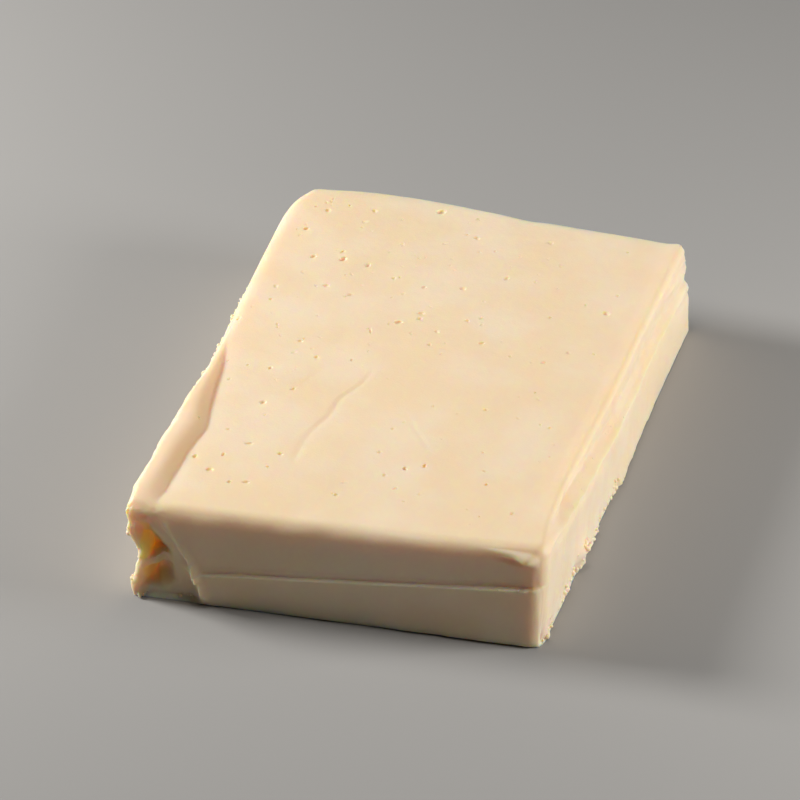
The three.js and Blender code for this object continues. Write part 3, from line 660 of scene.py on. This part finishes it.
CRUMB_ROWS = (
    ((0, 98, 32.6), (0, 132, 32.2), 40, 0.5, 1.5),
    ((0, 62, 34.4), (0, 100, 33.6), 56, 0.5, 1.5),
    ((0, 40, 34.2), (0, 62, 34.4), 12, 0.4, 0.9),
    ((0, 111, 32.6), (0, 116, 32.6), 5, 1.3, 2.1),
    ((0, 73, 34.2), (0, 79, 34.2), 6, 1.3, 2.1),
    ((0, 2.0, 4), (0, 2.0, 32), 14, 0.9, 2.2),
    ((2, 0, 0.8), (8, 0, 0.8), 6, 0.8, 1.9),
    ((14, 0, 1.0), (24, 0, 1.0), 8, 1.0, 1.9),
    ((112, 0, 19.3), (129, 0, 21.0), 14, 0.4, 1.0),
    ((50, 0, 13.8), (108, 0, 18.9), 9, 0.3, 0.5),
    ((135, 3, 1.2), (135, 92, 1.2), 70, 1.0, 2.8),
    ((135, 3, 4), (135, 92, 4), 22, 0.8, 2.0),
    ((135, 25, 30.5), (135, 110, 21.5), 18, 0.4, 0.9),
    ((135, 40, 8), (135, 50, 8), 6, 1.6, 3.0),
)
CRUMB_LUMPINESS, SUNK_SHARE, CLEAR_OF_FLOOR = 0.7, 0.2, 0.03


def crumb(place, size, dice):
    """An uneven bit of curd that sticks to the slab at a place of the true box, clear of the floor."""
    ball, ball_faces = lumpy_ball(3 if size > 1.8 else 2, dice, CRUMB_LUMPINESS)
    ball = ball * size / 2 * dice.uniform(0.55, 1.2, 3)
    turn, tip = dice.uniform(0, 2 * pi), dice.uniform(0, 2 * pi)
    ball = ball @ np.array(Matrix.Rotation(turn, 3, "Z") @ Matrix.Rotation(tip, 3, "X"))
    at = slab_points(*place) + SHIFT
    inward = [place[0] < 0.5, place[1] == 0] if place[0] < WIDTH else [-1, 0]
    at[:2] += SUNK_SHARE * size * np.array(inward)
    at[2] += max(CLEAR_OF_FLOOR - (at + ball.min(0))[2], 0)
    piece = piece_of("crumb", ball + at, ball_faces)
    mark(piece, torn=1.0)
    return piece


dice = np.random.default_rng(11)
crumbs = []
for start, end, count, small, large in CRUMB_ROWS:
    for _ in range(count):
        place = mix(np.array(start, float), np.array(end, float), dice.uniform())
        place += dice.uniform(-0.5, 0.5, 3) * [start[0] != end[0], start[1] != end[1], 1]
        place[2] = np.clip(place[2], 0.4, THICK)
        crumbs.append(crumb(place, mix(small, large, dice.uniform() ** 2), dice))
cut_or_join(crumbs, "UNION")

# The paste: moist ivory curd, even and close, that light enters a few millimetres deep before it comes back
# out. Its cuts are satin and faintly mottled. It has painted shade in deeper yellow inside the eyes, is paler
# where it is torn, and has a painted highlight along the seam and ridges, a painted amber glow where thin and
# painted tan shade on the lip's slope.

CREAM, IVORY = (0.90, 0.705, 0.475), (0.915, 0.74, 0.54)
EYE_SHADE_YELLOW, TORN_PALE_AND_HIGHLIGHT = (0.88, 0.69, 0.43), (0.92, 0.79, 0.60)
AMBER_GLOW, LIP_SHADE_TAN = (0.92, 0.73, 0.28), (0.83, 0.56, 0.26)
DEPTH_WHOLE, DEPTH_TORN = 5.5 * MM, 1.5 * MM
DEPTH_BY_COLOUR, DEPTH_WHERE_THIN = (1.0, 0.58, 0.15), (1.0, 0.85, 0.2)
paste = bpy.data.materials.new("pressed curd")
paste.use_nodes = True
nodes, links = paste.node_tree.nodes, paste.node_tree.links
shader = nodes["Principled BSDF"]
where = nodes.new("ShaderNodeTexCoord").outputs["Object"]


def speckle(size, detail):
    """Soft noise about this many millimetres wide, from 0 to 1."""
    noise = nodes.new("ShaderNodeTexNoise")
    noise.inputs["Scale"].default_value = 1000 / size
    noise.inputs["Detail"].default_value = detail
    links.new(where, noise.inputs["Vector"])
    return noise.outputs["Fac"]


def ramp(value, low, high, lowest=0.0, highest=1.0):
    """Goes softly from the lowest amount to the highest as a value goes from low to high."""
    change = nodes.new("ShaderNodeMapRange")
    change.interpolation_type = "SMOOTHSTEP"
    for name, amount in (("From Min", low), ("From Max", high), ("To Min", lowest), ("To Max", highest)):
        change.inputs[name].default_value = amount
    links.new(value, change.inputs["Value"])
    return change.outputs["Result"]


def blend(share, first, second):
    """Mixes two colours, each given plainly or as another node's output."""
    mixer = nodes.new("ShaderNodeMix")
    mixer.data_type = "RGBA"
    links.new(share, mixer.inputs["Factor"])
    for colour, socket in ((first, mixer.inputs[6]), (second, mixer.inputs[7])):
        if isinstance(colour, tuple):
            socket.default_value = (*colour, 1)
        else:
            links.new(colour, socket)
    return mixer.outputs[2]


def stored(name):
    """How much of a mark each point of the block has."""
    reader = nodes.new("ShaderNodeAttribute")
    reader.attribute_name = name
    return reader.outputs["Fac"]


colour = blend(ramp(speckle(26, 3), 0.35, 0.65), CREAM, IVORY)
colour = blend(ramp(speckle(2.2, 4), 0.55, 0.8, 0, 0.35), colour, IVORY)
# Paler where the curd is torn, and a painted highlight along the seam and the fold's ridges.
colour = blend(ramp(stored("torn"), 0, 1, 0, 0.6), colour, TORN_PALE_AND_HIGHLIGHT)
# Painted shade: a deeper yellow inside the eye hollows.
colour = blend(ramp(stored("eye"), 0.2, 1, 0, 0.3), colour, EYE_SHADE_YELLOW)
# Painted amber glow where the rim behind the torn pits is thin.
colour = blend(ramp(stored("thin"), 0, 1, 0, 0.85), colour, AMBER_GLOW)
# Painted tan shade on the lip's slope.
colour = blend(ramp(stored("lip"), 0, 1, 0, 0.5), colour, LIP_SHADE_TAN)
links.new(colour, shader.inputs["Base Color"])
links.new(ramp(speckle(9, 4), 0.3, 0.7, 0.38, 0.54), shader.inputs["Roughness"])
shader.inputs["IOR"].default_value = 1.42
shader.inputs["Specular IOR Level"].default_value = 0.4
shader.inputs["Subsurface Weight"].default_value = 1.0
links.new(blend(stored("thin"), DEPTH_BY_COLOUR, DEPTH_WHERE_THIN), shader.inputs["Subsurface Radius"])
links.new(ramp(stored("torn"), 0, 1, DEPTH_WHOLE, DEPTH_TORN), shader.inputs["Subsurface Scale"])
pile = None
for size, detail, height in ((4.5, 3, 0.1), (0.7, 3, 0.044), (0.22, 2, 0.016)):
    grain = nodes.new("ShaderNodeBump")
    grain.inputs["Distance"].default_value = height * MM
    links.new(speckle(size, detail), grain.inputs["Height"])
    if pile:
        links.new(pile, grain.inputs["Normal"])
    pile = grain.outputs["Normal"]
links.new(pile, shader.inputs["Normal"])
block.data.materials.clear()
block.data.materials.append(paste)
block.data.shade_smooth()
block.data.set_sharp_from_angle(angle=radians(50))
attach(block, "root")
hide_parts("tomme_block")

# The floor: a plain pale studio floor, wide enough to fill the picture.
# It is matt, so that only the block's soft shadows show on it.

bpy.ops.mesh.primitive_plane_add(size=6, location=(0, 0, 0))
floor = bpy.context.object
floor.name = "floor"
matt = bpy.data.materials.new("pale floor")
matt.use_nodes = True
floor_shader = matt.node_tree.nodes["Principled BSDF"]
floor_shader.inputs["Base Color"].default_value = (0.36, 0.352, 0.34, 1)
floor_shader.inputs["Roughness"].default_value = 0.95
floor_shader.inputs["Specular IOR Level"].default_value = 0.15
floor.data.materials.append(matt)

# The lights: a low softbox at the left that rakes the top, a weaker one at the right for the torn side,
# and a soft one overhead that picks out the ledges. The front cut stays in shade and glows along its edges.


def softbox(name, place, size, power):
    """A round softbox that faces the block."""
    light = bpy.data.lights.new(name, "AREA")
    light.shape = "DISK"
    light.size = size
    light.energy = power
    light.color = (1, 0.985, 0.965)
    box = bpy.data.objects.new(name, light)
    box.location = place
    box.rotation_euler = (-Vector(place)).to_track_quat("-Z", "Y").to_euler()
    bpy.context.scene.collection.objects.link(box)


softbox("left softbox", (-0.85, 0.0, 0.48), 0.3, 11.8)
softbox("right softbox", (0.6, 0.04, 0.24), 0.24, 3.2)
softbox("overhead softbox", (0, -0.16, 1.5), 0.4, 3.5)
world = bpy.data.worlds.new("studio")
bpy.context.scene.world = world
world.use_nodes = True
world.node_tree.nodes["Background"].inputs["Color"].default_value = (1, 0.98, 0.95, 1)
world.node_tree.nodes["Background"].inputs["Strength"].default_value = 0.02
bpy.context.scene.view_settings.view_transform = "Standard"

# The camera: a long lens looking down on the block from the front and a little to its right.
# The target is the middle of the picture on the floor.

TARGET = np.array([-16.1, 29.2, 0.0]) + SHIFT
DISTANCE, LENS, SENSOR = 1224.5, 162, 36
PITCH, TURN = radians(34), radians(15.3)
away = np.array([sin(TURN) * cos(PITCH), -cos(TURN) * cos(PITCH), sin(PITCH)]) * DISTANCE
camera_data = bpy.data.cameras.new("camera")
camera_data.lens = LENS
camera_data.sensor_width = SENSOR
camera = bpy.data.objects.new("camera", camera_data)
camera.location = (TARGET + away) * MM
camera.rotation_euler = (Vector(-away)).to_track_quat("-Z", "Y").to_euler()
bpy.context.scene.collection.objects.link(camera)
bpy.context.scene.camera = camera
